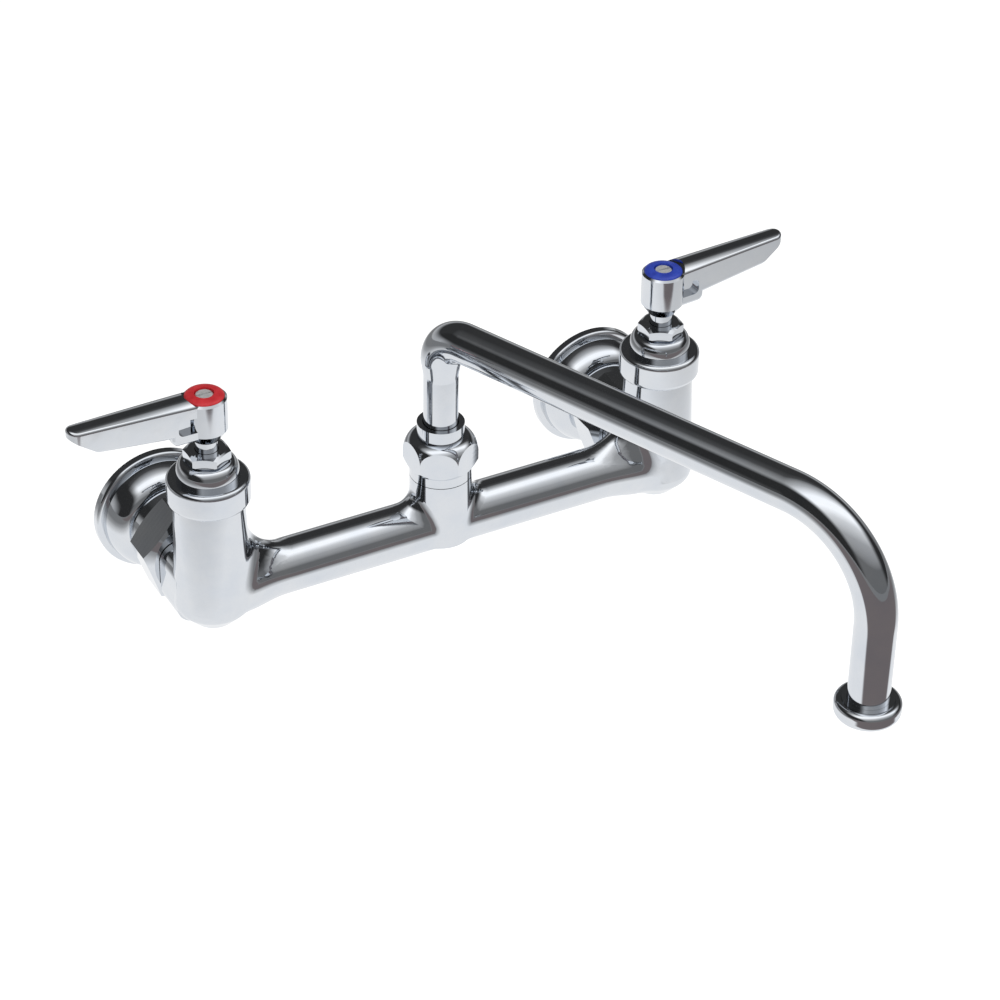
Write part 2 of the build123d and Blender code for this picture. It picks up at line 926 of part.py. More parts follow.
def lever_arm(side):
    """Arm of the handle where its side view, plan and section meet, edges rounded."""
    with BuildPart() as arm:
        add(lever_side_view(side).part)
        add(lever_plan(side).part, mode=Mode.INTERSECT)
        add(lever_section(side).part, mode=Mode.INTERSECT)
        long_edges = arm.edges().filter_by(lambda edge: edge.length > lever_root_width)
        fillet(long_edges, radius=lever_edge)
    return arm


def flank_pockets(side):
    """The two pockets that leave a thin web where the arm leaves the hub."""
    depth = lever_root_width
    centre = (pocket_web + depth) / 2
    with BuildPart() as pockets:
        with BuildSketch(handle_plane(side)) as outline:
            with BuildLine():
                Polyline(
                    (0, pocket_bottom),
                    (pocket_reach, pocket_bottom),
                    (pocket_reach, pocket_top),
                    (0, pocket_top),
                    close=True,
                )
            make_face()
            corners = outline.vertices()
            low = corners.sort_by_distance((pocket_reach, pocket_bottom))[0]
            high = corners.sort_by_distance((pocket_reach, pocket_top))[0]
            fillet([low, high], radius=pocket_round)
        extrude(amount=lever_root_width, both=True)
        with BuildSketch(lever_level(side)):
            with Locations((0, centre), (0, -centre)):
                Rectangle(2 * lever_reach, depth)
        extrude(amount=2 * handle_height, mode=Mode.INTERSECT)
    return pockets


def handle_hub(side):
    """Round hub of a lever handle, tapered to a neck below."""
    return turned(
        valve_plane(side),
        valve_axis(side),
        (0, handle_bottom),
        (handle_neck_radius, handle_bottom),
        (handle_radius, handle_bottom + handle_taper),
        (handle_radius, handle_top - handle_edge),
        (handle_radius - handle_edge, handle_top),
        (0, handle_top),
    )


def ring_seat(side):
    """Round recess in the top of a handle that takes the index ring."""
    with BuildPart() as seat:
        with BuildSketch(valve_level(side, handle_top - index_ring_seat)):
            Circle(index_ring_radius)
        extrude(amount=2 * index_ring_seat)
    return seat


def make_lever_handle(side):
    """Lever handle with its square socket and the hole for the handle screw."""
    socket_top = handle_bottom + socket_bore_depth + spindle_square_length
    hub = handle_hub(side)
    arm = lever_arm(side)
    pockets = flank_pockets(side)
    socket = spindle_square + 2 * socket_gap
    with BuildPart() as handle:
        add(arm.part)
        add(pockets.part, mode=Mode.SUBTRACT)
        with BuildSketch(valve_level(side, handle_top)):
            Circle(handle_radius)
        extrude(amount=handle_height, mode=Mode.SUBTRACT)
        add(hub.part)
        with BuildSketch(valve_level(side, handle_bottom)):
            Circle(spindle_radius + socket_gap)
        extrude(amount=socket_bore_depth, mode=Mode.SUBTRACT)
        with BuildSketch(valve_level(side, handle_bottom)):
            Rectangle(socket, socket)
        extrude(amount=socket_top - handle_bottom, mode=Mode.SUBTRACT)
        with BuildSketch(valve_level(side, socket_top)):
            Circle(handle_screw_radius + socket_gap)
        extrude(amount=handle_top, mode=Mode.SUBTRACT)
        add(ring_seat(side).part, mode=Mode.SUBTRACT)
    return handle


def make_index_ring(side):
    """Coloured plastic ring round the handle screw; its crest stands above the handle."""
    floor = handle_top - index_ring_seat
    outer = index_ring_radius - running_gap
    crest = handle_top + index_ring_crown
    with BuildPart() as ring:
        with BuildSketch(valve_plane(side)):
            with BuildLine():
                Polyline(
                    (outer, handle_top),
                    (outer, floor),
                    (index_ring_bore, floor),
                    (index_ring_bore, crest),
                )
                EllipticalCenterArc(
                    (index_ring_bore, handle_top),
                    outer - index_ring_bore,
                    index_ring_crown,
                    start_angle=0,
                    arc_size=90,
                )
            make_face()
        revolve(axis=valve_axis(side))
    return ring


def make_handle_screw(side):
    """Slotted screw that clamps the handle on the square of the spindle."""
    seat = valve_level(side, handle_top - index_ring_seat)
    with BuildPart() as screw:
        with BuildSketch(seat):
            Circle(handle_screw_head_radius)
        extrude(amount=handle_screw_head)
        rim = screw.edges().sort_by(Axis.Z)[-1]
        chamfer(rim, length=handle_screw_edge)
        with BuildSketch(seat.offset(handle_screw_head)):
            Rectangle(2 * handle_screw_head_radius, handle_screw_slot)
        extrude(amount=-handle_screw_slot_depth, mode=Mode.SUBTRACT)
        with BuildSketch(seat):
            Circle(handle_screw_radius)
        extrude(amount=-handle_screw_length)
    return screw


# ---- Spout ---------------------------------------------------------------------------------

spout_plane = Plane(
    origin=hub_plane.origin,
    x_dir=(cos(radians(spout_angle)), sin(radians(spout_angle)), 0),
    z_dir=(sin(radians(spout_angle)), -cos(radians(spout_angle)), 0),
)
bushing_bottom = hub_ledge + running_gap
bushing_top = bushing_bottom + bushing_length
tip_bottom = outlet_bottom + outlet_lip + screen_thickness + outlet_washer_thickness
outlet_axis = Axis(spout_plane.from_local_coords((spout_reach, 0, 0)), (0, 0, 1))


def riser_wall():
    """Upright foot of the tube, widened below the elbow."""
    foot = bushing_bottom + bushing_lip
    top = spout_height - elbow_radius
    swage = top - riser_swage
    return turned(
        spout_plane,
        hub_axis,
        (riser_radius - spout_wall, foot),
        (riser_radius, foot),
        (riser_radius, swage),
        (spout_radius, top),
        (spout_radius - spout_wall, top),
        (riser_radius - spout_wall, swage),
    )


def make_spout_tube():
    """One bent tube: riser, tight elbow, long level arm, wide bend down to the outlet."""
    elbow_foot = (0, spout_height - elbow_radius)
    elbow_end = (elbow_radius, spout_height)
    bend_start = (spout_reach - down_bend_radius, spout_height)
    bend_end = (spout_reach, spout_height - down_bend_radius)
    with BuildPart() as tube:
        with BuildLine(spout_plane):
            RadiusArc(elbow_foot, elbow_end, elbow_radius)
            Line(elbow_end, bend_start)
            RadiusArc(bend_start, bend_end, down_bend_radius)
            Line(bend_end, (spout_reach, tip_bottom))
        with BuildSketch(hub_level(spout_height - elbow_radius)):
            Circle(spout_radius)
            Circle(spout_radius - spout_wall, mode=Mode.SUBTRACT)
        sweep()
        add(riser_wall().part)
    return tube


def o_ring_levels():
    middle = (bushing_bottom + bushing_top) / 2
    return (middle - o_ring_pitch / 2, middle + o_ring_pitch / 2)


def make_spout_bushing():
    """Bushing brazed on the foot of the riser, with two grooves for O-rings."""
    groove_floor = hub_bore - o_ring_gap - o_ring_section
    groove_height = o_ring_section + groove_slack
    with BuildPart() as bushing:
        with BuildSketch(hub_level(bushing_bottom)):
            Circle(hub_bore - running_gap)
            Circle(riser_radius - spout_wall, mode=Mode.SUBTRACT)
        extrude(amount=bushing_length)
        with BuildSketch(hub_level(bushing_bottom + bushing_lip)):
            Circle(riser_radius + braze_gap)
        extrude(amount=bushing_length, mode=Mode.SUBTRACT)
        for level in o_ring_levels():
            with BuildSketch(hub_level(level)):
                Circle(hub_bore)
                Circle(groove_floor, mode=Mode.SUBTRACT)
            extrude(amount=groove_height / 2, both=True, mode=Mode.SUBTRACT)
    return bushing


def make_o_rings():
    """The two O-rings that seal the spout in the hub."""
    major = hub_bore - o_ring_gap - o_ring_section / 2
    with BuildPart() as rings:
        for level in o_ring_levels():
            with Locations(hub_level(level)):
                Torus(major, o_ring_section / 2)
    return rings


def make_spout_bearing():
    """Plastic ring between the riser and the spout nut that keeps the spout upright."""
    bottom = bushing_top + running_gap
    top = spout_nut_web - running_gap
    return turned(
        hub_plane,
        hub_axis,
        (riser_radius + running_gap, bottom),
        (hub_bore - running_gap, bottom),
        (hub_bore - running_gap, top),
        (riser_radius + running_gap, top),
    )


def make_spout_nut():
    """Hexagonal nut with a skirt below and a crown that rises to a round collar."""
    skirt_bottom = hub_shoulder + spout_nut_clearance
    bore = riser_radius + spout_nut_clearance
    thread_radius = hub_thread_radius + thread_gap
    with BuildPart() as outside:
        with BuildSketch(hub_plane):
            with BuildLine():
                Polyline(
                    (spout_nut_neck, spout_nut_shoulder),
                    (spout_nut_neck, spout_nut_top),
                    (bore, spout_nut_top),
                    (bore, spout_nut_web),
                    (thread_radius, spout_nut_web),
                    (thread_radius, skirt_bottom),
                    (hub_radius, skirt_bottom),
                    (hub_radius, spout_nut_flare_bottom),
                    (spout_nut_corner, spout_nut_wide_bottom),
                    (spout_nut_corner, spout_nut_wide_top),
                )
                EllipticalCenterArc(
                    (spout_nut_neck, spout_nut_wide_top),
                    spout_nut_corner - spout_nut_neck,
                    spout_nut_shoulder - spout_nut_wide_top,
                    start_angle=0,
                    arc_size=90,
                )
            make_face()
        revolve(axis=hub_axis)
    with BuildPart() as nut:
        with BuildSketch(hub_level(skirt_bottom)):
            RegularPolygon(radius=spout_nut_corner, side_count=6, rotation=hexagon_turn)
        extrude(amount=spout_nut_top - skirt_bottom)
        add(outside.part, mode=Mode.INTERSECT)
    return nut


def make_spout_tip():
    """Threaded collar brazed round the end of the tube."""
    return turned(
        spout_plane,
        outlet_axis,
        (spout_reach + spout_radius + braze_gap, tip_bottom),
        (spout_reach + tip_thread_radius, tip_bottom),
        (spout_reach + tip_thread_radius, tip_top),
        (spout_reach + spout_radius + braze_gap, tip_top),
    )


def make_outlet_ring():
    """Round housing screwed on the tip; its lip carries the screen."""
    lip_top = outlet_bottom + outlet_lip
    top = outlet_bottom + outlet_height
    bore = tip_thread_radius + thread_gap
    with BuildPart() as ring:
        with BuildSketch(spout_plane) as half:
            with BuildLine():
                Polyline(
                    (spout_reach + outlet_opening, outlet_bottom),
                    (spout_reach + outlet_radius, outlet_bottom),
                    (spout_reach + outlet_radius, top),
                    (spout_reach + bore, top),
                    (spout_reach + bore, lip_top),
                    (spout_reach + outlet_opening, lip_top),
                    close=True,
                )
            make_face()
            outer = half.vertices().sort_by_distance((spout_reach + outlet_radius, outlet_bottom))
            fillet(outer[0], radius=outlet_round)
            outer = half.vertices().sort_by_distance((spout_reach + outlet_radius, top))
            fillet(outer[0], radius=outlet_edge)
        revolve(axis=outlet_axis)
    return ring


def outlet_level(height):
    return Plane(origin=spout_plane.from_local_coords((spout_reach, height, 0)), z_dir=(0, 0, 1))


def make_outlet_screen():
    """Disc with rings of small holes that lies on the lip of the outlet ring."""
    with BuildPart() as screen:
        with BuildSketch(outlet_level(outlet_bottom + outlet_lip)):
            Circle(tip_thread_radius)
            Circle(screen_hole, mode=Mode.SUBTRACT)
            for ring in range(1, screen_rings + 1):
                with PolarLocations(ring * screen_pitch, screen_holes_per_ring * ring):
                    Circle(screen_hole, mode=Mode.SUBTRACT)
        extrude(amount=screen_thickness)
    return screen


def make_outlet_washer():
    """Rubber washer between the screen and the end of the tip."""
    with BuildPart() as washer:
        with BuildSketch(outlet_level(tip_bottom - outlet_washer_thickness)):
            Circle(tip_thread_radius)
            Circle(outlet_opening, mode=Mode.SUBTRACT)
        extrude(amount=outlet_washer_thickness)
    return washer


save(make_faucet_body(), "faucet_body")
for side, name in ((hot, "hot"), (cold, "cold")):
    save(make_inlet_tail(side), f"{name}_inlet_tail")
    save(make_coupling_nut(side), f"{name}_coupling_nut")
    save(make_inlet_washer(side), f"{name}_inlet_washer")
    save(make_wall_flange(side), f"{name}_wall_flange")
    save(make_seat(side), f"{name}_valve_seat")
    save(make_bonnet_gasket(side), f"{name}_bonnet_gasket")
    save(make_bonnet(side), f"{name}_bonnet")
    save(make_stem_packing(side), f"{name}_stem_packing")
    save(make_packing_nut(side), f"{name}_packing_nut")
    save(make_spindle(side), f"{name}_spindle")
    save(make_plunger(side), f"{name}_plunger")
    save(make_seat_washer(side), f"{name}_seat_washer")
    save(make_bib_screw(side), f"{name}_bib_screw")
    save(make_lever_handle(side), f"{name}_lever_handle")
    save(make_index_ring(side), f"{name}_index_ring")
    save(make_handle_screw(side), f"{name}_handle_screw")
save(make_spout_nut(), "spout_nut")
save(make_spout_bearing(), "spout_bearing")
save(make_spout_tube(), "spout_tube")
save(make_spout_bushing(), "spout_bushing")
save(make_o_rings(), "spout_o_rings")
save(make_spout_tip(), "spout_tip")
save(make_outlet_ring(), "outlet_ring")
save(make_outlet_screen(), "outlet_screen")
save(make_outlet_washer(), "outlet_washer")
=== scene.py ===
from math import cos, pi, radians, sin

import bpy
from mathutils import Matrix, Vector


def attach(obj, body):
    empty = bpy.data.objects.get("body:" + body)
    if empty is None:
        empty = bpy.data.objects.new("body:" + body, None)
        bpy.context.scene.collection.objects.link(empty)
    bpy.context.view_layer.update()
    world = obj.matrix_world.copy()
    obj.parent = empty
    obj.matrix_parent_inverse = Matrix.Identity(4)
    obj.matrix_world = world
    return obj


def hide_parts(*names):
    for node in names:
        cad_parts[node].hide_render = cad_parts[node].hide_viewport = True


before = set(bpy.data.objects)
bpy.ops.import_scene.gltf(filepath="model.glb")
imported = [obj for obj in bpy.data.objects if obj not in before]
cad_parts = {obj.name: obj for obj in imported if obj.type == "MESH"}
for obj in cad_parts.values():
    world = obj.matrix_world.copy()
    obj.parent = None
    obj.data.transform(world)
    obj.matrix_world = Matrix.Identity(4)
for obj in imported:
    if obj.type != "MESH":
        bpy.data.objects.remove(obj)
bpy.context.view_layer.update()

MM = 0.001

# ---- Places taken from the construction model ------------------------------------------
INLET_SPACING = 203.2 * MM
BAR_AXIS = Vector((0.0, -57.0 * MM, -4.0 * MM))  # middle of the bar between the valves

# ---- Camera of the photograph ----------------------------------------------------------
AZIMUTH = -28.94  # degrees, from straight in front towards the hot side
ELEVATION = 34.99
ROLL = 1.03
DISTANCE = 1302.93 * MM
FOCAL_PIXELS = 3183.17
PICTURE = 1000.0  # width and height of the picture in pixels
BAR_PIXEL = (440.28, 518.74)  # where the middle of the bar falls in the picture
SENSOR_WIDTH = 36.0
NEAREST = 0.05
FARTHEST = 60.0


def make_camera():
    """Camera at the photograph's angle, distance and focal length."""
    a = radians(AZIMUTH)
    e = radians(ELEVATION)
    back = Vector((sin(a) * cos(e), -cos(a) * cos(e), sin(e)))
    level = Vector((cos(a), sin(a), 0.0))
    upright = back.cross(level)
    roll = radians(ROLL)
    right = level * cos(roll) + upright * sin(roll)
    up = upright * cos(roll) - level * sin(roll)
    per_pixel = DISTANCE / FOCAL_PIXELS
    across = (BAR_PIXEL[0] - PICTURE / 2) * per_pixel
    down = (BAR_PIXEL[1] - PICTURE / 2) * per_pixel
    place = BAR_AXIS + back * DISTANCE - right * across + up * down
    data = bpy.data.cameras.new("camera")
    data.sensor_width = SENSOR_WIDTH
    data.lens = FOCAL_PIXELS / PICTURE * SENSOR_WIDTH
    data.clip_start = NEAREST
    data.clip_end = FARTHEST
    camera = bpy.data.objects.new("camera", data)
    bpy.context.scene.collection.objects.link(camera)
    turn = Matrix((right, up, back)).transposed().to_4x4()
    camera.matrix_world = Matrix.Translation(place) @ turn
    bpy.context.scene.camera = camera


make_camera()


# ---- Nodes and colours -----------------------------------------------------------------

WAVE_STEP = 2 * pi / 20  # spacing of the wave texture's bands at scale 1


def colour(text):
    """Linear colour of an sRGB hex value."""
    parts = [int(text[i:i + 2], 16) / 255 for i in (0, 2, 4)]
    linear = [p / 12.92 if p <= 0.04045 else ((p + 0.055) / 1.055) ** 2.4 for p in parts]
    return (*linear, 1.0)


def grey(level):
    """Linear grey; a level of 1 is white."""
    return (level, level, level, 1.0)


def add(tree, kind, inputs=None, **settings):
    """A node with its settings; an input is a plain value or the socket linked to it."""
    node = tree.nodes.new(kind)
    for name, value in settings.items():
        setattr(node, name, value)
    for name, value in (inputs or {}).items():
        if isinstance(value, bpy.types.NodeSocket):
            tree.links.new(value, node.inputs[name])
        else:
            node.inputs[name].default_value = value
    return node


def new_material(name):
    """An empty material with its output and the object's own coordinates."""
    material = bpy.data.materials.new(name)
    material.use_nodes = True
    tree = material.node_tree
    tree.nodes.clear()
    output = add(tree, "ShaderNodeOutputMaterial")
    place = add(tree, "ShaderNodeTexCoord").outputs["Object"]
    return material, tree, output, place


def ramp(tree, value, stops):
    """A colour ramp from (position, grey level or hex colour) stops."""
    node = add(tree, "ShaderNodeValToRGB", {"Fac": value})
    elements = node.color_ramp.elements
    while len(elements) < len(stops):
        elements.new(0.5)
    for element, (position, tone) in zip(elements, stops):
        element.position = position
        element.color = colour(tone) if isinstance(tone, str) else grey(tone)
    return node.outputs["Color"]


# ---- Chrome ----------------------------------------------------------------------------

CHROME_TINTS = ("D3D8DF", "DCDFE3")
POLISH_WAVE = 9 * MM  # width of the waves that the polishing wheel leaves
HAZE_PATCH = 14 * MM
DRIED_DROP = 5 * MM
CLEAN_ROUGHNESS = 0.035
HAZY_ROUGHNESS = 0.085
DROP_ROUGHNESS = 0.03  # added in the rims of dried drops
BUFFING_LINES = 2.2 * MM  # drawn coarser than the real ones, so that they show
BUFFING_DEPTH = 0.004 * MM


def chrome(name, wave_depth, lines_along=None):
    """Bright nickel-chrome plate, buffed.

    The eye sees a clean mirror that bends reflections a little over the polished
    waves, with faint haze where water has dried and dust has settled.
    """
    material, tree, output, place = new_material(name)
    waves = add(tree, "ShaderNodeTexNoise", {"Vector": place, "Scale": 1 / POLISH_WAVE,
                                             "Detail": 1.0, "Roughness": 0.4})
    haze = add(tree, "ShaderNodeTexNoise", {"Vector": place, "Scale": 1 / HAZE_PATCH,
                                            "Detail": 5.0, "Roughness": 0.62})
    drops = add(tree, "ShaderNodeTexVoronoi", {"Vector": place, "Scale": 1 / DRIED_DROP},
                feature="SMOOTH_F1")
    rims = ramp(tree, drops.outputs["Distance"], [(0.0, 0.0), (0.16, 0.0), (0.2, 1.0),
                                                  (0.26, 0.0)])
    rough = add(tree, "ShaderNodeMapRange", {"Value": haze.outputs["Fac"],
                                             "From Min": 0.35, "From Max": 0.75,
                                             "To Min": CLEAN_ROUGHNESS,
                                             "To Max": HAZY_ROUGHNESS})
    rough = add(tree, "ShaderNodeMath", {0: rims, 1: DROP_ROUGHNESS,
                                         2: rough.outputs["Result"]},
                operation="MULTIPLY_ADD")
    bump = add(tree, "ShaderNodeBump", {"Height": waves.outputs["Fac"], "Strength": 1.0,
                                        "Distance": wave_depth})
    if lines_along is not None:
        lines = add(tree, "ShaderNodeTexWave", {"Vector": place,
                                                "Scale": WAVE_STEP / BUFFING_LINES,
                                                "Distortion": 0.6, "Detail": 1.0},
                    wave_type="BANDS", bands_direction=lines_along)
        bump = add(tree, "ShaderNodeBump", {"Height": lines.outputs["Fac"],
                                            "Strength": 0.25, "Distance": BUFFING_DEPTH,
                                            "Normal": bump.outputs["Normal"]})
    dull, clear = CHROME_TINTS
    tint = ramp(tree, haze.outputs["Fac"], [(0.3, dull), (0.7, clear)])
    surface = add(tree, "ShaderNodeBsdfPrincipled", {"Base Color": tint, "Metallic": 1.0,
                                                     "Roughness": rough.outputs["Value"],
                                                     "Normal": bump.outputs["Normal"]})
    tree.links.new(surface.outputs["BSDF"], output.inputs["Surface"])
    return material


# ---- Brass and steel ---------------------------------------------------------------------

TOOL_MARKS = 3.14 * MM  # drawn coarser than the real ones, so that they show
TOOL_MARK_DEPTH = 0.02 * MM
BRASS_STAIN = 6 * MM
SCREW_SCRATCH = 1.2 * MM
SCREW_SCRATCH_DEPTH = 0.01 * MM
SCREW_METALLIC = 0.6  # less than bare metal: the tumbled skin scatters light as paint does


def machined_brass():
    """Free-cutting brass as it leaves the lathe: warm, with fine tool marks."""
    material, tree, output, place = new_material("machined_free_cutting_brass")
    marks = add(tree, "ShaderNodeTexWave", {"Vector": place,
                                            "Scale": WAVE_STEP / TOOL_MARKS,
                                            "Distortion": 0.8, "Detail": 2.0},
                bands_direction="Z")
    stain = add(tree, "ShaderNodeTexNoise", {"Vector": place, "Scale": 1 / BRASS_STAIN,
                                             "Detail": 6.0, "Roughness": 0.6})
    tint = ramp(tree, stain.outputs["Fac"], [(0.3, "A98645"), (0.6, "CBAA63"),
                                             (0.8, "D8BC7C")])
    bump = add(tree, "ShaderNodeBump", {"Height": marks.outputs["Fac"], "Strength": 0.5,
                                        "Distance": TOOL_MARK_DEPTH})
    rough = add(tree, "ShaderNodeMapRange", {"Value": stain.outputs["Fac"],
                                             "To Min": 0.22, "To Max": 0.42})
    surface = add(tree, "ShaderNodeBsdfPrincipled", {"Base Color": tint, "Metallic": 1.0,
                                                     "Roughness": rough.outputs["Result"],
                                                     "Normal": bump.outputs["Normal"]})
    tree.links.new(surface.outputs["BSDF"], output.inputs["Surface"])
    return material


def stainless_steel():
    """Stainless screw steel, tumbled to a satin white and scratched by screwdrivers."""
    material, tree, output, place = new_material("tumbled_stainless_steel")
    scratch = add(tree, "ShaderNodeTexNoise", {"Vector": place,
                                               "Scale": 1 / SCREW_SCRATCH,
                                               "Detail": 6.0, "Roughness": 0.7})
    tint = ramp(tree, scratch.outputs["Fac"], [(0.3, "C9CBCD"), (0.7, "E9E9E8")])
    rough = add(tree, "ShaderNodeMapRange", {"Value": scratch.outputs["Fac"],
                                             "To Min": 0.42, "To Max": 0.68})
    bump = add(tree, "ShaderNodeBump", {"Height": scratch.outputs["Fac"], "Strength": 0.4,
                                        "Distance": SCREW_SCRATCH_DEPTH})
    surface = add(tree, "ShaderNodeBsdfPrincipled", {"Base Color": tint,
                                                     "Metallic": SCREW_METALLIC,
                                                     "Roughness": rough.outputs["Result"],
                                                     "Normal": bump.outputs["Normal"]})
    tree.links.new(surface.outputs["BSDF"], output.inputs["Surface"])
    return material


# ---- Plastics, rubber and fibre ------------------------------------------------------------

MOTTLE = 4 * MM
ROUGHNESS_SPREAD = 0.2  # share by which the grain changes the roughness both ways


def moulded(name, tones, roughness, grain, depth):
    """A moulded or pressed material: mottled colour and a fine grain."""
    material, tree, output, place = new_material(name)
    mottle = add(tree, "ShaderNodeTexNoise", {"Vector": place, "Scale": 1 / MOTTLE,
                                              "Detail": 4.0, "Roughness": 0.6})
    grains = add(tree, "ShaderNodeTexNoise", {"Vector": place, "Scale": 1 / grain,
                                              "Detail": 3.0, "Roughness": 0.6})
    dark, light = tones
    tint = ramp(tree, mottle.outputs["Fac"], [(0.35, dark), (0.65, light)])
    rough = add(tree, "ShaderNodeMapRange", {"Value": grains.outputs["Fac"],
                                             "To Min": roughness * (1 - ROUGHNESS_SPREAD),
                                             "To Max": roughness * (1 + ROUGHNESS_SPREAD)})
    bump = add(tree, "ShaderNodeBump", {"Height": grains.outputs["Fac"], "Strength": 0.6,
                                        "Distance": depth})
    surface = add(tree, "ShaderNodeBsdfPrincipled", {"Base Color": tint,
                                                     "Roughness": rough.outputs["Result"],
                                                     "Normal": bump.outputs["Normal"]})
    tree.links.new(surface.outputs["BSDF"], output.inputs["Surface"])
    return material


# ---- Finish of each piece ------------------------------------------------------------------

cast_chrome = chrome("chrome_plate_on_cast_brass", 0.03 * MM)
upright_chrome = chrome("chrome_plate_on_brass_turned_upright", 0.008 * MM, "Z")
level_chrome = chrome("chrome_plate_on_brass_turned_level", 0.012 * MM, "Y")
tube_chrome = chrome("chrome_plate_on_drawn_brass_tube", 0.015 * MM)
forged_chrome = chrome("chrome_plate_on_forged_brass", 0.03 * MM)
brass = machined_brass()
steel = stainless_steel()
red = moulded("red_moulded_abs", ("B81F28", "CC2E35"), 0.32, 0.4 * MM, 0.004 * MM)
blue = moulded("blue_moulded_abs", ("2438A0", "3049B4"), 0.32, 0.4 * MM, 0.004 * MM)
rubber = moulded("black_epdm_rubber", ("161617", "242425"), 0.6, 0.3 * MM, 0.02 * MM)
nylon = moulded("natural_nylon", ("D9D5C6", "E6E3D8"), 0.45, 0.3 * MM, 0.01 * MM)
fibre = moulded("vulcanised_fibre", ("6E2E20", "8A4030"), 0.7, 0.25 * MM, 0.03 * MM)

FINISHES = {
    "faucet_body": cast_chrome,
    "wall_flange": level_chrome,
    "coupling_nut": level_chrome,
    "inlet_tail": brass,
    "inlet_washer": rubber,
    "valve_seat": brass,
    "bonnet": upright_chrome,
    "bonnet_gasket": fibre,
    "packing_nut": upright_chrome,
    "stem_packing": nylon,
    "spindle": upright_chrome,
    "plunger": brass,
    "seat_washer": rubber,
    "bib_screw": steel,
    "lever_handle": forged_chrome,
    "handle_screw": steel,
    "hot_index_ring": red,
    "cold_index_ring": blue,
    "spout_nut": upright_chrome,
    "spout_bearing": nylon,
    "spout_tube": tube_chrome,
    "spout_bushing": brass,
    "spout_o_rings": rubber,
    "spout_tip": upright_chrome,
    "outlet_ring": upright_chrome,
    "outlet_screen": steel,
    "outlet_washer": rubber,
}


def finish_of(name):
    """Finish of a piece; most are the same on the hot and the cold side."""
    plain = name.removeprefix("hot_").removeprefix("cold_")
    return FINISHES.get(name) or FINISHES[plain]


for name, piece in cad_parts.items():
    piece.data.materials.clear()
    piece.data.materials.append(finish_of(name))


# ---- Threads that the construction model leaves plain --------------------------------------

THREAD_RADIUS = 10.2 * MM  # 1/2 in pipe thread in the back of a wall flange
THREAD_PITCH = 25.4 / 14 * MM
THREAD_START = 1.2 * MM  # from the wall
THREAD_DEPTH = 0.75 * MM
THREAD_END = 14.0 * MM


def grouped(name, inputs):
    """A geometry node tree with its named inputs and their sockets."""
    tree = bpy.data.node_groups.new(name, "GeometryNodeTree")
    tree.interface.new_socket("Geometry", in_out="OUTPUT",
                              socket_type="NodeSocketGeometry")
    for label, kind in inputs.items():
        tree.interface.new_socket(label, in_out="INPUT", socket_type=f"NodeSocket{kind}")
    return tree, add(tree, "NodeGroupInput").outputs


def finish_tree(tree, geometry, material):
    """Ends a tree with real geometry in its material."""
    real = add(tree, "GeometryNodeRealizeInstances", {"Geometry": geometry})
    done = add(tree, "GeometryNodeSetMaterial", {"Geometry": real.outputs["Geometry"],
                                                 "Material": material})
    add(tree, "NodeGroupOutput", {"Geometry": done.outputs["Geometry"]})


def thread_tree():
    """Node tree of a helical rib; its sizes are the inputs of the group."""
    tree, sizes = grouped("helical_rib", {"Radius": "Float", "Turns": "Float",
                                          "Length": "Float", "Height": "Float",
                                          "Material": "Material"})
    helix = add(tree, "GeometryNodeCurveSpiral", {"Resolution": 48,
                                                  "Rotations": sizes["Turns"],
                                                  "Start Radius": sizes["Radius"],
                                                  "End Radius": sizes["Radius"],
                                                  "Height": sizes["Length"]})
    section = add(tree, "GeometryNodeCurvePrimitiveCircle", {"Resolution": 6,
                                                             "Radius": sizes["Height"]})
    rib = add(tree, "GeometryNodeCurveToMesh", {"Curve": helix.outputs["Curve"],
                                                "Profile Curve": section.outputs["Curve"],
                                                "Fill Caps": True})
    finish_tree(tree, rib.outputs["Mesh"], sizes["Material"])
    return tree


def grown(name, tree, sizes):
    """Plain mesh data that a node tree grows from its named sizes."""
    holder = bpy.data.objects.new(name, bpy.data.meshes.new(name))
    bpy.context.scene.collection.objects.link(holder)
    modifier = holder.modifiers.new("grow", "NODES")
    modifier.node_group = tree
    for item in tree.interface.items_tree:
        if item.in_out == "INPUT":
            modifier[item.identifier] = sizes[item.name]
    bpy.context.view_layer.update()
    ready = holder.evaluated_get(bpy.context.evaluated_depsgraph_get())
    mesh = bpy.data.meshes.new_from_object(ready)
    bpy.data.objects.remove(holder)
    return mesh


def pipe_thread(name, side, tree):
    """Crests of the female pipe thread in the back of one wall flange."""
    length = THREAD_END - THREAD_START
    mesh = grown(name, tree, {"Radius": THREAD_RADIUS, "Turns": length / THREAD_PITCH,
                              "Length": length, "Height": THREAD_DEPTH, "Material": brass})
    mesh.name = name
    turn = Matrix.Rotation(pi / 2, 4, "X")
    mesh.transform(Matrix.Translation((side * INLET_SPACING / 2, -THREAD_START, 0)) @ turn)
    piece = bpy.data.objects.new(name, mesh)
    bpy.context.scene.collection.objects.link(piece)
    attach(piece, "faucet")


rib_tree = thread_tree()
pipe_thread("hot_pipe_thread", -1, rib_tree)
pipe_thread("cold_pipe_thread", 1, rib_tree)


# ---- Spout tube ----------------------------------------------------------------------------
# Heights above the bar's axis and distances out along the spout, as in the construction model.

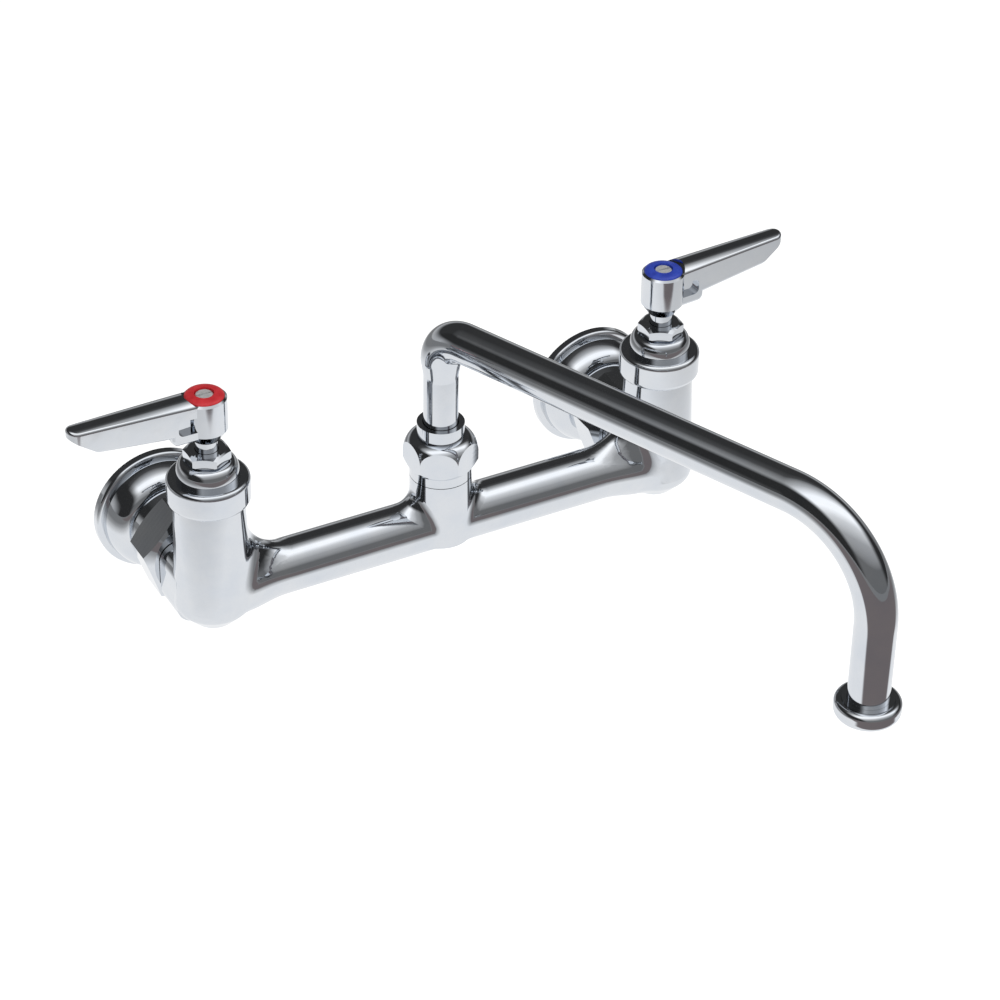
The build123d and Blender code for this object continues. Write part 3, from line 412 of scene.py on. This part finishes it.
SPOUT_TURN = -67.5  # degrees from +X, seen from above
TUBE_FOOT = 13.1 * MM
TUBE_LEVEL = 89.5 * MM
TUBE_REACH = 208.6 * MM
TUBE_END = 9.6 * MM
TUBE_RADIUS = 8.2 * MM
TUBE_WALL = 1.2 * MM
RISER_RADIUS = 7.1 * MM
RISER_SWAGE = 7.0 * MM
ELBOW_RADIUS = 12.0 * MM
BEND_RADIUS = 41.5 * MM
PAST_ELBOW = 1.5  # the corners of the route count from 0: the elbow is 1 and the bend 2
STEPS_IN_BEND = 60
STEPS_IN_TUBE = 420
TUBE_SIDES = 72
WELD_GAP = 0.005 * MM


def tube_route(tree, sizes):
    """Centre line through the four points, its two corners rounded."""
    corners = add(tree, "GeometryNodeCurvePrimitiveQuadrilateral",
                  {"Point 1": sizes["Foot"], "Point 2": sizes["Elbow"],
                   "Point 3": sizes["Bend"], "Point 4": sizes["End"]}, mode="POINTS")
    route = add(tree, "GeometryNodeSetSplineCyclic", {"Geometry": corners.outputs["Curve"],
                                                      "Cyclic": False})
    index = add(tree, "GeometryNodeInputIndex").outputs["Index"]
    at_bend = add(tree, "ShaderNodeMath", {0: index, 1: PAST_ELBOW},
                  operation="GREATER_THAN")
    rounding = add(tree, "ShaderNodeMapRange", {"Value": at_bend.outputs["Value"],
                                                "To Min": sizes["Elbow Radius"],
                                                "To Max": sizes["Bend Radius"]})
    rounded = add(tree, "GeometryNodeFilletCurve", {"Curve": route.outputs["Geometry"],
                                                    "Count": STEPS_IN_BEND,
                                                    "Radius": rounding.outputs["Result"]},
                  mode="POLY")
    return add(tree, "GeometryNodeResampleCurve", {"Curve": rounded.outputs["Curve"],
                                                   "Count": STEPS_IN_TUBE})


def tube_skin(tree, sizes, route):
    """Outside of the tube, narrower below the swage of its riser."""
    along = add(tree, "GeometryNodeSplineParameter").outputs["Length"]
    width = add(tree, "ShaderNodeMapRange", {"Value": along,
                                             "From Min": sizes["Swage Start"],
                                             "From Max": sizes["Swage End"],
                                             "To Min": sizes["Foot Radius"],
                                             "To Max": sizes["Radius"]})
    ring = add(tree, "GeometryNodeCurvePrimitiveCircle", {"Resolution": TUBE_SIDES,
                                                          "Radius": 1.0})
    return add(tree, "GeometryNodeCurveToMesh", {"Curve": route.outputs["Curve"],
                                                 "Profile Curve": ring.outputs["Curve"],
                                                 "Scale": width.outputs["Result"]})


def tube_tree():
    """Node tree of a bent tube through four points, with its wall closed at both ends."""
    tree, sizes = grouped("bent_tube", {"Foot": "Vector", "Elbow": "Vector",
                                        "Bend": "Vector", "End": "Vector",
                                        "Radius": "Float", "Wall": "Float",
                                        "Foot Radius": "Float", "Swage Start": "Float",
                                        "Swage End": "Float", "Elbow Radius": "Float",
                                        "Bend Radius": "Float", "Material": "Material"})
    skin = tube_skin(tree, sizes, tube_route(tree, sizes))
    inwards = add(tree, "ShaderNodeMath", {0: sizes["Wall"], 1: -1.0},
                  operation="MULTIPLY").outputs["Value"]
    lining = add(tree, "GeometryNodeExtrudeMesh", {"Mesh": skin.outputs["Mesh"],
                                                   "Offset Scale": inwards,
                                                   "Individual": False}, mode="FACES")
    turned = add(tree, "GeometryNodeFlipFaces", {"Mesh": lining.outputs["Mesh"]})
    both = add(tree, "GeometryNodeJoinGeometry")
    tree.links.new(skin.outputs["Mesh"], both.inputs["Geometry"])
    tree.links.new(turned.outputs["Mesh"], both.inputs["Geometry"])
    closed = add(tree, "GeometryNodeMergeByDistance",
                 {"Geometry": both.outputs["Geometry"], "Distance": WELD_GAP})
    smooth = add(tree, "GeometryNodeSetShadeSmooth",
                 {"Geometry": closed.outputs["Geometry"]})
    finish_tree(tree, smooth.outputs["Geometry"], sizes["Material"])
    return tree


def spout_point(reach, height):
    """A point on the spout's upright plane."""
    turn = radians(SPOUT_TURN)
    return BAR_AXIS + Vector((reach * cos(turn), reach * sin(turn), height))


def bent_spout():
    """The tube, grown along its bent centre line in place of the CAD one."""
    swage_end = TUBE_LEVEL - ELBOW_RADIUS - TUBE_FOOT
    mesh = grown("spout_pipe", tube_tree(), {
        "Foot": spout_point(0, TUBE_FOOT),
        "Elbow": spout_point(0, TUBE_LEVEL),
        "Bend": spout_point(TUBE_REACH, TUBE_LEVEL),
        "End": spout_point(TUBE_REACH, TUBE_END),
        "Radius": TUBE_RADIUS,
        "Wall": TUBE_WALL,
        "Foot Radius": RISER_RADIUS,
        "Swage Start": swage_end - RISER_SWAGE,
        "Swage End": swage_end,
        "Elbow Radius": ELBOW_RADIUS,
        "Bend Radius": BEND_RADIUS,
        "Material": tube_chrome,
    })
    piece = bpy.data.objects.new("spout_pipe", mesh)
    bpy.context.scene.collection.objects.link(piece)
    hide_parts("spout_tube")
    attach(piece, "spout")


bent_spout()


# ---- Floor, with its painted reflection, and a card of painted dark reflection ---------------

FLOOR_DROP = 0.35  # floor below the inlets; the faucet hangs on a wall above it
FLOOR_SPAN = (-12.0, 12.0)
PAPER = 0.93
PAPER_SEEN = 1.35  # lit as the paper is, this comes out white in the picture
PAINTED_REFLECTION_SPAN = 2.0  # metres of floor over which the painted reflection of the paper darkens
CARD_DROP = 0.07  # card below the outlet of the spout, seen in mirrors only: a painted dark reflection
CARD_ACROSS = (-1.2, 1.2)
CARD_OUT = (-1.2, -0.15)
# grey that the card glows with in mirrors: painted dark reflection
PAINTED_DARK_TONE = "7A7272"
PAINTED_DARK_BEGINS = -0.28  # how far out its soft edge begins
PAINTED_DARK_FULL = -0.305


def flat_piece(name, x_range, y_range, height, material):
    """A level rectangle of the stage."""
    mesh = bpy.data.meshes.new(name)
    corners = [(x_range[0], y_range[0]), (x_range[1], y_range[0]),
               (x_range[1], y_range[1]), (x_range[0], y_range[1])]
    mesh.from_pydata([(x, y, height) for x, y in corners], [], [(0, 1, 2, 3)])
    mesh.materials.append(material)
    piece = bpy.data.objects.new(name, mesh)
    bpy.context.scene.collection.objects.link(piece)
    return piece


def white_paper():
    """Matt white paper: white to the camera; in mirrors it glows with a painted reflection,
    bright near by and darker far off.
    """
    material, tree, output, place = new_material("matt_white_paper")
    flat = add(tree, "ShaderNodeVectorMath", {0: place, 1: (1.0, 1.0, 0.0)},
               operation="MULTIPLY")
    away = add(tree, "ShaderNodeVectorMath", {0: flat.outputs["Vector"]},
               operation="LENGTH")
    reach = add(tree, "ShaderNodeMapRange", {"Value": away.outputs["Value"],
                                             "From Max": PAINTED_REFLECTION_SPAN})
    # Painted reflection: the tone the paper glows with in mirrors, darker further from the middle
    # of the floor.
    painted_reflection_tone = ramp(tree, reach.outputs["Result"], [(0.32, 1.0), (0.4, 0.74), (0.55, 0.42),
                                                  (0.8, 0.24)])
    paths = add(tree, "ShaderNodeLightPath")
    paper = add(tree, "ShaderNodeBsdfDiffuse", {"Color": grey(PAPER)})
    seen = add(tree, "ShaderNodeBsdfDiffuse", {"Color": grey(PAPER_SEEN)})
    # the paper glows with this painted reflection for mirror rays only, in place of being lit
    mirrored = add(tree, "ShaderNodeEmission", {"Color": painted_reflection_tone, "Strength": 1.0})
    matt = add(tree, "ShaderNodeMixShader", {0: paths.outputs["Is Camera Ray"],
                                             1: paper.outputs["BSDF"],
                                             2: seen.outputs["BSDF"]})
    mixed = add(tree, "ShaderNodeMixShader", {0: paths.outputs["Is Glossy Ray"],
                                              1: matt.outputs["Shader"],
                                              2: mirrored.outputs["Emission"]})
    tree.links.new(mixed.outputs["Shader"], output.inputs["Surface"])
    return material


def fading(tree, value, full, gone):
    """1 where a value is at full, 0 from gone on, with a soft step between."""
    return add(tree, "ShaderNodeMapRange", {"Value": value, "From Min": full,
                                            "From Max": gone, "To Min": 1.0,
                                            "To Max": 0.0},
               interpolation_type="SMOOTHSTEP").outputs["Result"]


def painted_dark_reflection_card():
    """Painted dark reflection: a sheet glowing grey with a soft edge towards the faucet, seen in
    the mirrors only.
    """
    material, tree, output, place = new_material("painted_dark_reflection_card")
    axes = add(tree, "ShaderNodeSeparateXYZ", {"Vector": place})
    clear = add(tree, "ShaderNodeBsdfTransparent")
    painted_dark = add(tree, "ShaderNodeEmission", {"Color": colour(PAINTED_DARK_TONE), "Strength": 1.0})
    mixed = add(tree, "ShaderNodeMixShader",
                {0: fading(tree, axes.outputs["Y"], PAINTED_DARK_FULL, PAINTED_DARK_BEGINS),
                 1: clear.outputs["BSDF"], 2: painted_dark.outputs["Emission"]})
    tree.links.new(mixed.outputs["Shader"], output.inputs["Surface"])
    return material


def make_floor_and_card():
    """Plain pale floor, and a card seen only in mirrors that paints a dark reflection on the
    lower end of the spout.
    """
    flat_piece("floor", FLOOR_SPAN, FLOOR_SPAN, -FLOOR_DROP, white_paper())
    card = flat_piece("card", CARD_ACROSS, CARD_OUT, -CARD_DROP, painted_dark_reflection_card())
    card.visible_camera = False
    card.visible_diffuse = False
    card.visible_transmission = False
    card.visible_shadow = False


# ---- Studio above the floor --------------------------------------------------------------------
# Places in the mirrored studio are parts of a direction: to the side, to the back and up.

SOFTBOX = 1.35  # brightness of the softbox where the chrome mirrors it
SOFTBOX_RIGHT = 0.09  # how far its middle hangs to the right
SOFTBOX_HALF_WIDTH = 0.62
SOFTBOX_EDGE = 0.88
SOFTBOX_FRONT = -3.0  # lean to the back for each unit of height
SOFTBOX_BACK = 0.75
HORIZON = 0.02
WALL_LIGHT = 0.5
WALL_TOP = 0.35
DARK_ROOM = 0.03
MATT_SKY = 0.75
KEY_PLACE = (0.1, -1.0, 1.1)
KEY_AIM = (0, -0.12, 0.03)
KEY_SIZE = (0.5, 0.4)
KEY_WATTS = 6.0


def computed(tree, operation, *values):
    """Result of a sum on sockets or plain values."""
    inputs = dict(enumerate(values))
    return add(tree, "ShaderNodeMath", inputs, operation=operation).outputs["Value"]


def mirrored_studio(tree):
    """What mirrors see above the floor: a long softbox overhead in a dark room.

    The softbox hangs a little to the right, fades slowly towards the front and ends
    sharply behind.  The wall far behind is faintly lit just above the floor.
    """
    direction = add(tree, "ShaderNodeTexCoord").outputs["Generated"]
    axes = add(tree, "ShaderNodeSeparateXYZ", {"Vector": direction})
    height = computed(tree, "MAXIMUM", axes.outputs["Z"], HORIZON)
    lean = computed(tree, "DIVIDE", axes.outputs["Y"], height)
    along = add(tree, "ShaderNodeMapRange", {"Value": lean, "From Min": SOFTBOX_FRONT,
                                             "From Max": SOFTBOX_BACK}).outputs["Result"]
    depth = ramp(tree, along, [(0.0, 0.13), (0.5, 0.34), (0.65, 0.64), (0.72, 1.0),
                               (0.78, 1.0), (0.85, 0.42), (0.93, 0.06), (1.0, 0.03)])
    shifted = computed(tree, "SUBTRACT", axes.outputs["X"], SOFTBOX_RIGHT)
    side = computed(tree, "ABSOLUTE", shifted)
    width = fading(tree, side, SOFTBOX_HALF_WIDTH, SOFTBOX_EDGE)
    softbox = computed(tree, "MULTIPLY", computed(tree, "MULTIPLY", depth, width), SOFTBOX)
    behind = add(tree, "ShaderNodeMapRange", {"Value": axes.outputs["Y"],
                                              "From Max": WALL_LIGHT,
                                              "To Max": WALL_LIGHT}).outputs["Result"]
    low = fading(tree, axes.outputs["Z"], HORIZON, WALL_TOP)
    wall = computed(tree, "MULTIPLY", behind, low)
    lit = computed(tree, "MAXIMUM", softbox, wall)
    return computed(tree, "MAXIMUM", lit, DARK_ROOM)


def make_world():
    """White to the camera, an even sky for matt things, a dark studio for mirrors."""
    world = bpy.data.worlds.new("studio")
    world.use_nodes = True
    bpy.context.scene.world = world
    tree = world.node_tree
    tree.nodes.clear()
    output = add(tree, "ShaderNodeOutputWorld")
    paths = add(tree, "ShaderNodeLightPath")
    mirrored = add(tree, "ShaderNodeBackground", {"Color": grey(1.0),
                                                  "Strength": mirrored_studio(tree)})
    sky = add(tree, "ShaderNodeBackground", {"Color": grey(1.0), "Strength": MATT_SKY})
    white = add(tree, "ShaderNodeBackground", {"Color": grey(1.0), "Strength": 1.0})
    inner = add(tree, "ShaderNodeMixShader", {0: paths.outputs["Is Glossy Ray"],
                                              1: sky.outputs["Background"],
                                              2: mirrored.outputs["Background"]})
    outer = add(tree, "ShaderNodeMixShader", {0: paths.outputs["Is Camera Ray"],
                                              1: inner.outputs["Shader"],
                                              2: white.outputs["Background"]})
    tree.links.new(outer.outputs["Shader"], output.inputs["Surface"])


def make_key_lamp():
    """Soft lamp from the front and above, for the matt pieces."""
    data = bpy.data.lights.new("key_softbox", "AREA")
    data.shape = "RECTANGLE"
    data.size, data.size_y = KEY_SIZE
    data.energy = KEY_WATTS
    lamp = bpy.data.objects.new("key_softbox", data)
    bpy.context.scene.collection.objects.link(lamp)
    away = (Vector(KEY_PLACE) - Vector(KEY_AIM)).normalized()
    turn = away.to_track_quat("Z", "Y").to_matrix().to_4x4()
    lamp.matrix_world = Matrix.Translation(KEY_PLACE) @ turn
    lamp.visible_glossy = False


make_floor_and_card()
make_world()
make_key_lamp()
bpy.context.scene.view_settings.view_transform = "Standard"
